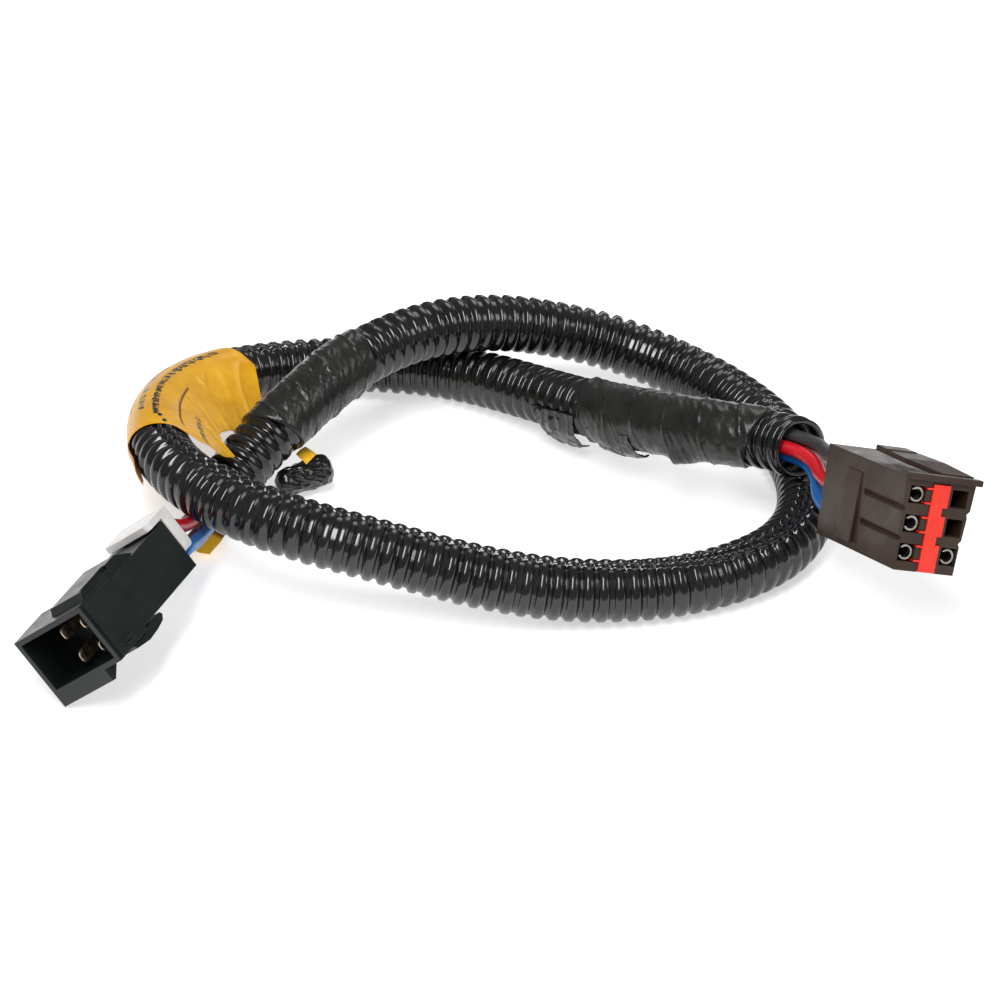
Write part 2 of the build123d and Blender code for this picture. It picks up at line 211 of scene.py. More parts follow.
def node(nt, kind, inputs=None, **props):
    n = nt.nodes.new(kind)
    for k, v in props.items():
        setattr(n, k, v)
    for k, v in (inputs or {}).items():
        n.inputs[k].default_value = v
    return n


def plastic(name, dark, light, rough, rough_var=0.08, grain=2600, grain_bump=0.12, grain_depth=0.00002,
            blotch=160, round_edges=0.0, coat=0.0, scuffs=0.0, **sockets):
    """Moulded plastic: two close tones in soft blotches, fine grain, and scuffs that change the gloss."""
    m, nt, bsdf = shader(name)
    co = node(nt, "ShaderNodeTexCoord")
    tone = node(nt, "ShaderNodeTexNoise", {"Scale": blotch, "Detail": 4.0, "Roughness": 0.6})
    ramp = node(nt, "ShaderNodeValToRGB")
    ramp.color_ramp.elements[0].position = 0.35
    ramp.color_ramp.elements[1].position = 0.7
    ramp.color_ramp.elements[0].color = (*dark, 1)
    ramp.color_ramp.elements[1].color = (*light, 1)
    nt.links.new(co.outputs["Object"], tone.inputs["Vector"])
    nt.links.new(tone.outputs["Fac"], ramp.inputs["Fac"])
    nt.links.new(ramp.outputs["Color"], bsdf.inputs["Base Color"])
    wear = node(nt, "ShaderNodeTexNoise", {"Scale": blotch * 3.1, "Detail": 6.0, "Roughness": 0.7})
    mr = node(nt, "ShaderNodeMapRange", {"From Min": 0.3, "From Max": 0.75, "To Min": rough - rough_var, "To Max": rough + rough_var + scuffs})
    nt.links.new(co.outputs["Object"], wear.inputs["Vector"])
    nt.links.new(wear.outputs["Fac"], mr.inputs["Value"])
    nt.links.new(mr.outputs["Result"], bsdf.inputs["Roughness"])
    fine = node(nt, "ShaderNodeTexNoise", {"Scale": grain, "Detail": 3.0, "Roughness": 0.65})
    nt.links.new(co.outputs["Object"], fine.inputs["Vector"])
    bump = node(nt, "ShaderNodeBump", {"Strength": grain_bump, "Distance": grain_depth})
    nt.links.new(fine.outputs["Fac"], bump.inputs["Height"])
    if round_edges:
        edge = node(nt, "ShaderNodeBevel", {"Radius": round_edges}, samples=4)
        nt.links.new(edge.outputs["Normal"], bump.inputs["Normal"])
    nt.links.new(bump.outputs["Normal"], bsdf.inputs["Normal"])
    if coat:
        bsdf.inputs["Coat Weight"].default_value = coat
        bsdf.inputs["Coat Roughness"].default_value = 0.12
    for k, v in sockets.items():
        bsdf.inputs[k.replace("_", " ")].default_value = v
    return m


def metal(name, dark, light, rough=0.3, round_edges=0.00006):
    m, nt, bsdf = shader(name)
    co = node(nt, "ShaderNodeTexCoord")
    tone = node(nt, "ShaderNodeTexNoise", {"Scale": 420.0, "Detail": 6.0, "Roughness": 0.65})
    ramp = node(nt, "ShaderNodeValToRGB")
    ramp.color_ramp.elements[0].position = 0.35
    ramp.color_ramp.elements[1].position = 0.68
    ramp.color_ramp.elements[0].color = (*dark, 1)
    ramp.color_ramp.elements[1].color = (*light, 1)
    nt.links.new(co.outputs["Object"], tone.inputs["Vector"])
    nt.links.new(tone.outputs["Fac"], ramp.inputs["Fac"])
    nt.links.new(ramp.outputs["Color"], bsdf.inputs["Base Color"])
    mr = node(nt, "ShaderNodeMapRange", {"From Min": 0.3, "From Max": 0.7, "To Min": rough - 0.1, "To Max": rough + 0.14})
    nt.links.new(tone.outputs["Fac"], mr.inputs["Value"])
    nt.links.new(mr.outputs["Result"], bsdf.inputs["Roughness"])
    bsdf.inputs["Metallic"].default_value = 1.0
    fine = node(nt, "ShaderNodeTexNoise", {"Scale": 3800.0, "Detail": 2.0})
    bump = node(nt, "ShaderNodeBump", {"Strength": 0.12, "Distance": 0.00002})
    edge = node(nt, "ShaderNodeBevel", {"Radius": round_edges}, samples=4)
    nt.links.new(co.outputs["Object"], fine.inputs["Vector"])
    nt.links.new(fine.outputs["Fac"], bump.inputs["Height"])
    nt.links.new(edge.outputs["Normal"], bump.inputs["Normal"])
    nt.links.new(bump.outputs["Normal"], bsdf.inputs["Normal"])
    return m


loom_mat = plastic("loom", (0.0036, 0.0037, 0.0038), (0.0085, 0.0085, 0.0085), 0.16, 0.04, grain=1500, grain_bump=0.10,
                   grain_depth=0.00003, blotch=90, scuffs=0.03, Specular_IOR_Level=0.62)
tape_mat = plastic("tape", (0.008, 0.008, 0.0072), (0.021, 0.0205, 0.0175), 0.27, 0.07, grain=900, grain_bump=0.2,
                   grain_depth=0.00005, blotch=140, scuffs=0.06, Specular_IOR_Level=0.4)
stub_mat = plastic("tape_crumpled", (0.004, 0.004, 0.004), (0.011, 0.011, 0.0105), 0.17, 0.06, grain=700, grain_bump=0.25,
                   grain_depth=0.00008, blotch=200, Specular_IOR_Level=0.45)
black_mat = plastic("black_nylon", (0.0042, 0.0066, 0.0066), (0.0095, 0.0135, 0.013), 0.33, 0.07, grain=2400, grain_bump=0.16,
                    blotch=70, round_edges=0.0002, scuffs=0.06, Specular_IOR_Level=0.38)
brown_mat = plastic("brown_nylon", (0.030, 0.0165, 0.0105), (0.048, 0.028, 0.0195), 0.38, 0.07, grain=2000, grain_bump=0.22,
                    blotch=60, round_edges=0.00024, scuffs=0.08, Specular_IOR_Level=0.32)
red_mat = plastic("red_nylon", (0.66, 0.018, 0.008), (0.80, 0.032, 0.014), 0.3, 0.06, grain=2200, grain_bump=0.1,
                  blotch=120, round_edges=0.00015)
white_mat = plastic("white_nylon", (0.53, 0.51, 0.50), (0.66, 0.645, 0.635), 0.24, 0.06, grain=1400, grain_bump=0.12,
                    blotch=110, round_edges=0.00028, Subsurface_Weight=0.2, Subsurface_Scale=0.002)
wire_mats = {
    "red": plastic("wire_red", (0.50, 0.004, 0.012), (0.66, 0.009, 0.02), 0.33, grain=900, blotch=120, scuffs=0.08),
    "blue": plastic("wire_blue", (0.005, 0.105, 0.36), (0.009, 0.16, 0.48), 0.34, grain=900, blotch=120, scuffs=0.08),
    "white": plastic("wire_white", (0.72, 0.71, 0.68), (0.86, 0.85, 0.83), 0.34, grain=900, blotch=120, scuffs=0.08),
    "black": plastic("wire_black", (0.030, 0.030, 0.031), (0.055, 0.055, 0.057), 0.42, grain=900, blotch=120, scuffs=0.08),
}
blade_mat = metal("blade_metal", (0.30, 0.235, 0.18), (0.66, 0.55, 0.42), 0.34, 0.00016)
contact_mat = metal("contact_metal", (0.30, 0.28, 0.25), (0.62, 0.60, 0.55), 0.3)
copper_mat = metal("copper_strands", (0.62, 0.28, 0.14), (0.86, 0.46, 0.26), 0.3)

for n, mat_ in {
    "plug_housing": black_mat, "plug_latch_lever": black_mat, "plug_wire_lock": white_mat,
    "socket_housing": brown_mat, "socket_latch": brown_mat, "socket_terminal_lock": red_mat,
}.items():
    nodes[n].data.materials.clear()
    nodes[n].data.materials.append(mat_)
for c in ("black", "red", "blue", "white"):
    for n, mat_ in ((f"blade_terminal_{c}", blade_mat), (f"socket_terminal_{c}", contact_mat)):
        nodes[n].data.materials.clear()
        nodes[n].data.materials.append(mat_)

# ---------------------------------------------------------- the loom's route
loom_points = np.array([
    (-64.6, -4.6, 8.0), (-59.2, 5.3, 11.6), (-52.0, 14.1, 15.8),
    (-43.7, 24.0, 19.8), (-35.0, 34.2, 22.4), (-24.5, 44.4, 23.0),
    (-12.9, 52.0, 22.4), (0.0, 57.8, 20.2), (13.6, 61.6, 16.2),
    (27.1, 61.9, 12.3), (41.5, 57.2, 8.7), (54.5, 46.8, 6.9),
    (64.8, 29.8, 6.8), (69.9, 10.9, 6.8), (69.4, -7.6, 6.8),
    (63.7, -21.1, 6.8), (53.8, -30.2, 6.8), (41.4, -36.1, 6.8),
    (27.8, -38.9, 6.8), (13.0, -40.3, 7.9), (-1.3, -40.5, 10.5),
    (-15.5, -39.8, 14.1), (-28.9, -38.2, 17.4), (-41.0, -35.5, 19.5),
    (-52.0, -31.1, 20.9), (-61.1, -25.0, 21.6), (-69.3, -16.2, 21.6),
    (-75.7, -3.6, 20.4), (-78.7, 13.0, 17.9), (-77.1, 29.8, 14.7),
    (-71.0, 43.5, 11.5), (-61.8, 53.0, 8.9), (-51.1, 58.4, 7.3),
    (-39.3, 60.7, 6.8), (-27.2, 60.6, 6.8), (-15.0, 58.4, 6.8),
    (-2.4, 52.6, 7.2), (11.4, 41.3, 9.0), (25.1, 26.2, 13.5),
    (38.4, 12.9, 18.4), (50.2, 4.6, 21.1), (61.2, 0.4, 21.8),
    (67.9, -4.2, 22.0),
]) + SHIFT
heading, roll = math.radians(68.8), math.radians(39.4)
PX = np.array([math.cos(roll) * math.sin(heading), -math.cos(roll) * math.cos(heading), math.sin(roll)])
PZ = np.array([math.cos(heading), math.sin(heading), 0])
PY = np.cross(PZ, PX)
PO = np.array([-101.3, -68.8, 13.62]) + SHIFT
SZ = unit([-0.3681, 0.8787, -0.3040])
SX = np.array([0.9130, 0.2797, -0.2970])
SX = unit(SX - SZ * np.dot(SX, SZ))
SY = np.cross(SZ, SX)
SO = np.array([85.25, -51.27, 43.91]) + SHIFT


def plug_at(x, y, z):
    return PO + PX * x + PY * y + PZ * z


def sock_at(x, y, z):
    return SO + SX * x + SY * y + SZ * z


loom_path = nurbs(loom_points)
loom = Line(loom_path, PX)


# ---------------------------------------------------------------- the wires
def bundle_frames(points, x):
    out = []
    for a, b in zip(points, points[1:]):
        t = unit(b - a)
        x = unit(x - t * np.dot(x, t))
        out.append((t, x, np.cross(t, x)))
    return out


half = 3.4 / 2
corner_of = {"red": (half, -half), "blue": (half, half), "white": (-half, half), "black": (-half, -half)}
plug_cell = {"red": (16.7, 4.1), "blue": (16.7, 10.3), "white": (10.5, 10.3), "black": (10.5, 4.1)}
sock_cell = {"black": (2.75, 3.7), "red": (2.75, 9.9), "blue": (2.75, 16.1), "white": (12.85, 16.1)}
frames = bundle_frames(loom_points, PX)
last = len(loom_points) - 1
wire_points = {}
for colour, (cx, cy) in corner_of.items():
    line = []
    for k, point in enumerate(loom_points):
        a = math.radians(120.0 * k / last)
        dx = cx * math.cos(a) - cy * math.sin(a)
        dy = cx * math.sin(a) + cy * math.cos(a)
        t, x, y = frames[min(max(k - 1, 0), last - 1)]
        d = x * dx + y * dy
        if 0 < k < last:
            n = unit(t + frames[k][0])
            d = d - t * (np.dot(d, n) / np.dot(t, n))
        line.append(point + d)
    px, py = plug_cell[colour]
    lead = []
    for mid, share in (((-69.6, -26.6, 12.6), 0.35), ((-67.2, -15.4, 9.1), 0.0)):
        ox = cx * (1 - share) + (px - 13.6) * share
        oy = cy * (1 - share) + (py - 7.2) * share
        lead.append(np.array(mid) + SHIFT + PX * ox + PY * oy)
    sx, sy = sock_cell[colour]
    wire_points[colour] = np.array(
        [plug_at(px, py, 28.4), plug_at(px, py, 39.6), plug_at(px, py, 43.2)] + lead + line[:-1]
        + [line[-1] + frames[-1][0] * 4.0, sock_at(sx, sy, 40.9), sock_at(sx, sy, 20.2)])

# ----------------------------------------------------------------- the loom
PITCH = 3.35
CREST, VALLEY = 6.8, 5.82


def rib(p):
    """0 in the groove to 1 on the crest, for a place counted in ribs."""
    d = np.abs(p - np.floor(p) - 0.5) * 2
    return (1 - smooth(d, 0.34, 0.97)) * (1 - 0.16 * d * d)


eye = np.array([SHIFT[0], -636.04 + SHIFT[1], 403.44])


def facing(s):
    """Cross directions at s: towards the front and above, and across it."""
    p, t, x, y = loom.at(np.atleast_1d(s))
    v = np.array([0.0, -0.845, 0.535])
    c = v - t * (t @ v)[:, None]
    c /= np.linalg.norm(c, axis=1)[:, None]
    d = np.cross(t, c)
    return p, t, c, d, x, y


# Where the slit runs, as an angle from the front, at lengths along the loom.
slit_keys = [(0, -60), (30, -62), (52, -66), (66, -74), (80, -84), (110, -100), (150, -60), (180, -20), (205, 8),
             (218, 24), (232, 36), (249, 50), (262, 62), (279, 76), (305, 84), (338, 84), (350, 80), (362, 72),
             (371, 62), (381, 46), (391, 30), (398, 0), (420, -30), (460, -60), (520, -110), (560, -150), (604, -160)]
ks = np.array([k[0] for k in slit_keys], float)
ka = np.array([k[1] for k in slit_keys], float)
_, _, c_, d_, x_, y_ = facing(ks)
dirs = c_ * np.cos(np.radians(ka))[:, None] + d_ * np.sin(np.radians(ka))[:, None]
slit_angle_keys = np.unwrap(np.arctan2(np.sum(dirs * y_, 1), np.sum(dirs * x_, 1)))


def slit_angle(s):
    fine = np.linspace(0, loom.length, 400)
    a = np.interp(fine, ks, slit_angle_keys)
    for _ in range(14):
        a[1:-1] = (a[:-2] + 2 * a[1:-1] + a[2:]) / 4
    return np.interp(s, fine, a)


braid_keys = [(0, 0.15), (180, 0.15), (205, 0.55), (240, 0.9), (300, 1.0), (430, 1.0), (470, 0.3), (604, 0.2)]


def braid(s):
    return np.interp(s, [k[0] for k in braid_keys], [k[1] for k in braid_keys])


def loom_radius(s, deg):
    """The outside of the loom: ribs, and the slit where one edge laps the other."""
    p = s / PITCH
    b = braid(s)
    wide = 12 + 14 * b
    t = np.clip(1 - np.abs(deg) / wide, 0, 1)
    near = smooth(t, 0.0, 0.75)
    up = rib(p + 0.55 * b * near)
    down = rib(p - 0.35 * b * near + 0.18 * b)
    plain = rib(p)
    over = VALLEY + (CREST - VALLEY) * (up * near + plain * (1 - near))
    over = over + near * (0.16 + 0.22 * b) * (0.35 + 0.65 * up)
    under = VALLEY + (CREST - VALLEY) * (down * near + plain * (1 - near)) - near * (0.1 + 0.22 * b)
    edge = (1.5 - 2.0 * b) + (2.0 + 7.0 * b) * (0.5 - up)
    k = smooth(deg, edge - 1.1, edge + 1.1)
    groove = np.exp(-(((deg - edge + 1.6) / 1.5) ** 2)) * (0.25 + 0.2 * b)
    r = over * k + under * (1 - k) - groove
    # the lapped edge stands up as a row of leaf-shaped lobes over a row of smaller ones
    strong = np.clip(b * 1.4 - 0.35, 0, 1)
    r = r + (CREST - 0.72 - r) * smooth(1 - np.abs(deg) / 19.0, 0.0, 0.3) * strong
    for centre, half_width, lean, skew, phase, high in ((6.0, 7.6, 5.0, 0.012, 0.3, 0.62), (-8.0, 6.4, -4.0, -0.06, 0.8, 0.34)):
        q = p + (deg - centre) * skew + phase
        f = q - np.floor(q) - 0.5
        rho = ((deg - centre - lean * f) / half_width) ** 2 + (f / 0.60) ** 2
        round_top = np.sqrt(np.clip(1 - rho, 0, 1))
        lobe = CREST - 0.75 + (0.75 + high) * round_top
        r = r + np.maximum(lobe - r, 0) * np.where(rho < 1, 1.0, 0.0) * strong
    return r


inner = np.arange(-18.0, 18.1, 1.2)
mid_ = np.array([19.6, 21.8, 24.4, 27.4, 31.2])
outer_ = np.linspace(36.5, 323.5, 43)
deg_cols = np.concatenate([inner, mid_, outer_, 360 - mid_[::-1]])
deg_signed = np.where(deg_cols > 180, deg_cols - 360, deg_cols)
rings = int(loom.length / (PITCH / 10))
s_ring = np.linspace(0, loom.length, rings + 1)
p, t, x, y = loom.at(s_ring)
base = slit_angle(s_ring)
ang = base[:, None] + np.radians(deg_cols)[None, :]
rad = loom_radius(s_ring[:, None], deg_signed[None, :])
p_end, t_end, c_end, d_end, x_end, y_end = facing(loom.length)
toward = np.array([-0.30, -0.80, 0.52])
slant = (x @ toward)[-1] * np.cos(ang) + (y @ toward)[-1] * np.sin(ang)
near_mouth = smooth(s_ring, loom.length - 26.0, loom.length)[:, None]
along = -2.6 * slant * near_mouth - 0.6 * near_mouth
lump = waves(5, 8, 0.02, 0.09)
rad = rad + 0.06 * lump(s_ring[:, None] * 1.0, np.cos(ang) * 12) - 0.06
wall = x[:, None] * np.cos(ang)[..., None] + y[:, None] * np.sin(ang)[..., None]
flare = 1 + 0.05 * smooth(s_ring, loom.length - 7.0, loom.length)[:, None]
outside = (p[:, None] + wall * (rad * flare)[..., None] + t[:, None] * along[..., None]).reshape(-1, 3)
cols = len(deg_cols)
# the inside: the same ribs a wall thickness in for the first and last runs, and plain between
take = np.unique(np.r_[np.arange(0, 60), np.arange(60, rings - 60, 12), np.arange(rings - 60, rings + 1)])
inside = (p[take, None] + wall[take] * ((np.minimum(rad[take], CREST) - 0.62) * flare[take])[..., None]
          + t[take, None] * along[take][..., None]).reshape(-1, 3)
n_out = len(outside)
faces = grid_faces(rings + 1, cols, flip=True).tolist()
faces += grid_faces(len(take), cols, offset=n_out).tolist()
lip = len(take) - 1
for j in range(cols):
    k = (j + 1) % cols
    faces.append([j, k, n_out + k, n_out + j])
    faces.append([rings * cols + k, rings * cols + j, n_out + lip * cols + j, n_out + lip * cols + k])
loom_piece = make("loom_corrugated", np.vstack([outside, inside]), faces, loom_mat)
recalc(loom_piece)
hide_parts("split_loom")

# ------------------------------------------------------------- wires, visible
wire_pieces = {}
wire_lines = {}
for colour, pts in wire_points.items():
    path = nurbs(pts)
    ln = Line(path, PX)
    wire_lines[colour] = ln
    w = tube_piece(f"wire_{colour}_insulation", ln, 1.55, 20, wire_mats[colour], step=1.0)
    recalc(w)
    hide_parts(f"wire_{colour}")
    wire_pieces[colour] = w
    bare = pts.copy()
    bare[0] = bare[0] + unit(bare[0] - bare[1]) * 5.2
    bare[-1] = bare[-1] + unit(bare[-1] - bare[-2]) * 5.2
    strands = tube_piece(f"wire_{colour}_core", Line(nurbs(bare), PX), lambda s, a: 0.86 + 0.07 * np.abs(np.cos(3.5 * a + s * 0.4)),
                         28, copper_mat, step=1.5)
    recalc(strands)
    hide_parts(f"strands_{colour}")


# ------------------------------------------------------------------- tape
def ridge(v):
    """Sharp creases where a smooth function crosses zero, 0 to 1."""
    return np.clip(1 - np.abs(v) * 2.2, 0, 1) ** 1.6


def tape_wrap(name, node_name, s0, s1, seed, bulge=None, lay=1.0, start=None, end=None):
    """Vinyl tape wound round the loom: overlapping turns, wrinkles, ribs showing through."""
    cols, step = 110, 0.28
    n = int((s1 - s0) / step)
    a = np.arange(cols) * 2 * math.pi / cols
    k = np.linspace(0, 1, n + 1)[:, None]
    first = s0 + (start(a)[None, :] if start else 0 * a[None, :])
    final = s1 + (end(a)[None, :] if end else 0 * a[None, :])
    S = first + (final - first) * k
    A = np.broadcast_to(a[None, :], S.shape)
    p, t, x, y = (q.reshape(n + 1, cols, 3) for q in loom.at(S.ravel()))
    wa, wb, wc = waves(seed, 9, 0.3, 1.1), waves(seed + 1, 9, 0.8, 2.2), waves(seed + 2, 8, 0.15, 0.5)
    wd, we, wm = waves(seed + 3, 9, 0.35, 0.9), waves(seed + 4, 9, 0.25, 0.8), waves(seed + 5, 6, 0.1, 0.3)
    turn = (S - s0) / 8.6 + lay * A / (2 * math.pi)
    f = turn - np.floor(turn)
    step_up = 0.22 * (1 - smooth(f, 0.02, 0.09)) + 0.10 * (1 - f)
    diag = S + lay * 5.5 * np.sin(A)
    c6, s6 = 6 * np.cos(A), 6 * np.sin(A)
    r = 7.02 + step_up + 0.10 * rib(S / PITCH) * (0.5 + 0.5 * wc(S, 3 * np.sin(A)))
    r = r + 0.15 * np.abs(wa(diag * 0.9, c6)) + 0.04 * wb(diag * 1.3, 9 * np.cos(A) + 4 * np.sin(2 * A))
    mask = 0.35 + 0.65 * np.clip(wm(S, c6) * 1.6 + 0.3, 0, 1)
    r = r + 0.17 * mask * ridge(wd(diag * 2.6, c6 * 0.5)) + 0.12 * mask * ridge(we(diag * 3.4 + c6, s6 * 0.45))
    if bulge is not None:
        r = r + bulge(S, A)
    ends = smooth(k, 0, 0.5 / (s1 - s0)) * (1 - smooth(k, 1 - 0.5 / (s1 - s0), 1))
    r = 6.78 + (r - 6.78) * (0.4 + 0.6 * ends)
    wall_dir = x * np.cos(A)[..., None] + y * np.sin(A)[..., None]
    v = p + r[..., None] * wall_dir
    inner_v = p[[0, -1]] + 6.1 * wall_dir[[0, -1]]
    verts = np.vstack([v.reshape(-1, 3), inner_v.reshape(-1, 3)])
    faces = grid_faces(n + 1, cols, flip=True).tolist()
    m = (n + 1) * cols
    for j in range(cols):
        k_ = (j + 1) % cols
        faces.append([j, k_, m + k_, m + j])
        faces.append([n * cols + k_, n * cols + j, m + cols + j, m + cols + k_])
        faces.append([m + j, m + k_, m + cols + k_, m + cols + j])
    o = make(name, verts, faces, tape_mat)
    recalc(o)
    if node_name:
        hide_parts(node_name)
    return o


def s_at(point):
    """Length along the loom nearest a point of its route."""
    return loom.s[np.linalg.norm(loom.p - point, axis=1).argmin()]


s_pt = [s_at(q) for q in loom_points]


def facing_angle(s, deg):
    """Angle in the loom's own frame of a direction given from the front."""
    _, _, c, d, x, y = facing(s)
    w = c * math.cos(math.radians(deg)) + d * math.sin(math.radians(deg))
    return float(np.arctan2(np.sum(w * y, 1), np.sum(w * x, 1))[0])


def lump_at(s_mid, deg, high, ds, da):
    a0 = facing_angle(s_mid, deg)

    def f(S, A):
        dd = (A - a0 + math.pi) % (2 * math.pi) - math.pi
        return high * np.exp(-(((S - s_mid) / ds) ** 2) - (dd / math.radians(da)) ** 2)

    return f


def slanted(s_mid, deg, high):
    """An end of tape cut at a slant: further along on the side at this angle."""
    a0 = facing_angle(s_mid, deg)
    return lambda A: high * np.cos(A - a0)


t1_start = (s_pt[1] + s_pt[2]) / 2 + 5.4
t1_end = (s_pt[4] + s_pt[5]) / 2 - 4.6
t1 = tape_wrap("tape_plug_side", "tape_wrap_plug_side", t1_start, t1_end, 21, start=slanted(t1_start, 90, 2.4),
               end=slanted(t1_end, 90, -1.6))
t2_start = (s_pt[37] + s_pt[38]) / 2 + 6.3
t2_end = (s_pt[40] + s_pt[41]) / 2 + 3.0
b1 = lump_at(s_pt[38] + 6, 66, 1.2, 5.0, 28)
b2 = lump_at(s_pt[39] + 6, 74, 1.7, 3.4, 24)
t2 = tape_wrap("tape_socket_side", "tape_wrap_socket_side", t2_start, t2_end, 33,
               bulge=lambda S, A: b1(S, A) + b2(S, A), lay=-1.0, start=slanted(t2_start, 90, 1.8),
               end=slanted(t2_end, 90, -1.8))


# ------------------------------------------------------- sheets: label, tails
def sheet_piece(name, grid, thick, material, uv=None, replace=None):
    """A thin closed sheet from rows and columns of points in mm."""
    g = np.asarray(grid, float)
    n = np.cross(np.gradient(g, axis=0), np.gradient(g, axis=1))
    n /= np.linalg.norm(n, axis=2)[..., None] + 1e-12
    rows, cols = g.shape[:2]
    verts = np.vstack([(g + n * thick / 2).reshape(-1, 3), (g - n * thick / 2).reshape(-1, 3)])
    m = rows * cols
    faces = grid_faces(rows, cols, around=False).tolist() + grid_faces(rows, cols, around=False, offset=m, flip=True).tolist()
    for i in range(rows - 1):
        for j in (0, cols - 1):
            a, b = i * cols + j, (i + 1) * cols + j
            faces.append([a, b, m + b, m + a])
    for j in range(cols - 1):
        for i in (0, rows - 1):
            a, b = i * cols + j, i * cols + j + 1
            faces.append([a, b, m + b, m + a])
    uvs = None if uv is None else np.vstack([np.asarray(uv).reshape(-1, 2)] * 2)
    o = make(name, verts, faces, material, uv=uvs)
    recalc(o)
    if replace:
        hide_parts(*replace)
    return o


def vinyl(name, dark, light, rows=(), crease_shade=None, shade_edge=None, rough=0.32):
    """Printed vinyl: two close tones, rows of plain dashes, painted shade along a crease, and a painted shade band
    towards one edge.
    """
    m, nt, bsdf = shader(name)
    uvn = node(nt, "ShaderNodeUVMap", uv_map="UVMap")
    sep = node(nt, "ShaderNodeSeparateXYZ")
    nt.links.new(uvn.outputs["UV"], sep.inputs["Vector"])
    co = node(nt, "ShaderNodeTexCoord")
    tone = node(nt, "ShaderNodeTexNoise", {"Scale": 150.0, "Detail": 6.0, "Roughness": 0.62})
    ramp = node(nt, "ShaderNodeValToRGB")
    ramp.color_ramp.elements[0].position = 0.33
    ramp.color_ramp.elements[1].position = 0.68
    ramp.color_ramp.elements[0].color = (*dark, 1)
    ramp.color_ramp.elements[1].color = (*light, 1)
    nt.links.new(co.outputs["Object"], tone.inputs["Vector"])
    nt.links.new(tone.outputs["Fac"], ramp.inputs["Fac"])
    colour = ramp.outputs["Color"]

    def band(axis, centre, half, soft=0.14):
        off = node(nt, "ShaderNodeMath", {1: -centre}, operation="ADD")
        nt.links.new(sep.outputs[axis], off.inputs[0])
        size = node(nt, "ShaderNodeMath", operation="ABSOLUTE")
        nt.links.new(off.outputs[0], size.inputs[0])
        mr = node(nt, "ShaderNodeMapRange", {"From Min": half + soft, "From Max": half - soft})
        nt.links.new(size.outputs[0], mr.inputs["Value"])
        return mr.outputs["Result"]

    def times(a, b):
        k = node(nt, "ShaderNodeMath", operation="MULTIPLY")
        nt.links.new(a, k.inputs[0])
        nt.links.new(b, k.inputs[1])
        return k.outputs[0]

    def over(fac, ink):
        nonlocal colour
        mix = node(nt, "ShaderNodeMix", data_type="RGBA")
        nt.links.new(fac, mix.inputs[0])
        nt.links.new(colour, mix.inputs[6])
        mix.inputs[7].default_value = (*ink, 1)
        colour = mix.outputs[2]

    for v, half, u0, u1, seed in rows:
        move = node(nt, "ShaderNodeMapping", {"Location": (seed, seed * 0.37, 0.0), "Scale": (1.0, 0.45, 1.0)})
        nt.links.new(uvn.outputs["UV"], move.inputs["Vector"])
        dash = node(nt, "ShaderNodeTexNoise", {"Scale": 0.95, "Detail": 2.0, "Roughness": 0.6})
        nt.links.new(move.outputs["Vector"], dash.inputs["Vector"])
        cut = node(nt, "ShaderNodeMapRange", {"From Min": 0.455, "From Max": 0.50})
        nt.links.new(dash.outputs["Fac"], cut.inputs["Value"])
        over(times(times(band("Y", v, half), band("X", (u0 + u1) / 2, (u1 - u0) / 2)), cut.outputs["Result"]), (0.035, 0.022, 0.010))
    if crease_shade:
        # painted shade: a darker copy of the vinyl's colour in a band along the crease of the fold
        v, u0, u1 = crease_shade
        over(times(band("Y", v, 0.30, 0.12), band("X", (u0 + u1) / 2, (u1 - u0) / 2)), (0.16, 0.05, 0.012))
    if shade_edge:
        # painted shade: the colour goes over to a darker shaded copy towards one edge of the sheet
        mr = node(nt, "ShaderNodeMapRange", {"From Min": shade_edge[0], "From Max": shade_edge[1]})
        nt.links.new(sep.outputs["Y"], mr.inputs["Value"])
        over(mr.outputs["Result"], shade_edge[2])
    nt.links.new(colour, bsdf.inputs["Base Color"])
    rr = node(nt, "ShaderNodeMapRange", {"From Min": 0.3, "From Max": 0.7, "To Min": rough - 0.07, "To Max": rough + 0.1})
    nt.links.new(tone.outputs["Fac"], rr.inputs["Value"])
    nt.links.new(rr.outputs["Result"], bsdf.inputs["Roughness"])
    fine = node(nt, "ShaderNodeTexNoise", {"Scale": 900.0, "Detail": 4.0, "Roughness": 0.6})
    nt.links.new(co.outputs["Object"], fine.inputs["Vector"])
    bump = node(nt, "ShaderNodeBump", {"Strength": 0.2, "Distance": 0.00005})
    nt.links.new(fine.outputs["Fac"], bump.inputs["Height"])
    nt.links.new(bump.outputs["Normal"], bsdf.inputs["Normal"])
    bsdf.inputs["Specular IOR Level"].default_value = 0.3
    return m


YELLOW = ((0.64, 0.30, 0.004), (0.80, 0.42, 0.010))
s_label0 = (s_pt[27] + s_pt[28]) / 2 - 2.6
s_label1 = (s_pt[30] + s_pt[31]) / 2 + 1.6
label_len = s_label1 - s_label0
# the crease band at 5.6 mm is painted shade along the sheet's fold
label_mat = vinyl("label_yellow", *YELLOW,
                  rows=((-7.4, 0.62, 10, 34, 3.0), (-3.6, 0.75, 8, 46, 11.0), (-0.1, 0.75, 5, 47, 5.5), (10.4, 0.7, 3, 17, 41.0)),
                  crease_shade=(5.6, 4, 27))

